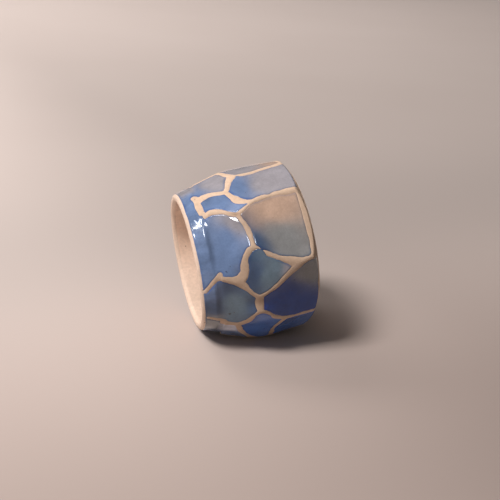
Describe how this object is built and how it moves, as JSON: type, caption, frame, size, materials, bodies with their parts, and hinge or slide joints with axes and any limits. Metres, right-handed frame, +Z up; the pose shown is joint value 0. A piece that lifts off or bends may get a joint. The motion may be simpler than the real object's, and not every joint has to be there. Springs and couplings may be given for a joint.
{
  "type": "guitar slide",
  "caption": "Short faceted ceramic ring worn on a finger as a guitar slide, with pools of glossy blue, teal and sand glaze set between narrow lines of bare clay.",
  "frame": {"origin": "on the axis of the finger bore, halfway between the rim of the small end and the foot face of the wide end", "axes": "+X along the bore toward the wide end, +Z up with the ring lying on its side, -Y toward the viewer"},
  "size_m": [0.0182, 0.0258, 0.026],
  "materials": {
    "bare_clay": "bare fired clay, satin",
    "cobalt_glaze": "glossy cobalt glaze",
    "navy_glaze": "glossy dark blue glaze",
    "teal_glaze": "glossy grey-teal glaze",
    "pale_glaze": "glossy sand and lavender-grey wash"
  },
  "bodies": {
    "root": {"clay_body": "bare_clay", "lip_band": "cobalt_glaze", "near_pool_1": "pale_glaze", "near_pool_2": "cobalt_glaze", "near_pool_3": "cobalt_glaze", "near_pool_4": "teal_glaze", "near_pool_5": "navy_glaze", "near_pool_6": "teal_glaze", "near_pool_7": "cobalt_glaze", "near_pool_8": "pale_glaze", "near_pool_9": "cobalt_glaze", "near_pool_10": "teal_glaze", "mid_pool_1": "teal_glaze", "mid_pool_2": "navy_glaze", "mid_pool_3": "cobalt_glaze", "mid_pool_4": "teal_glaze", "far_pool_1": "pale_glaze", "far_pool_2": "pale_glaze", "far_pool_3": "pale_glaze", "far_pool_4": "navy_glaze", "far_pool_5": "navy_glaze", "far_pool_6": "teal_glaze", "far_pool_7": "cobalt_glaze", "far_pool_8": "pale_glaze", "far_pool_9": "teal_glaze"}
  },
  "joints": []
}
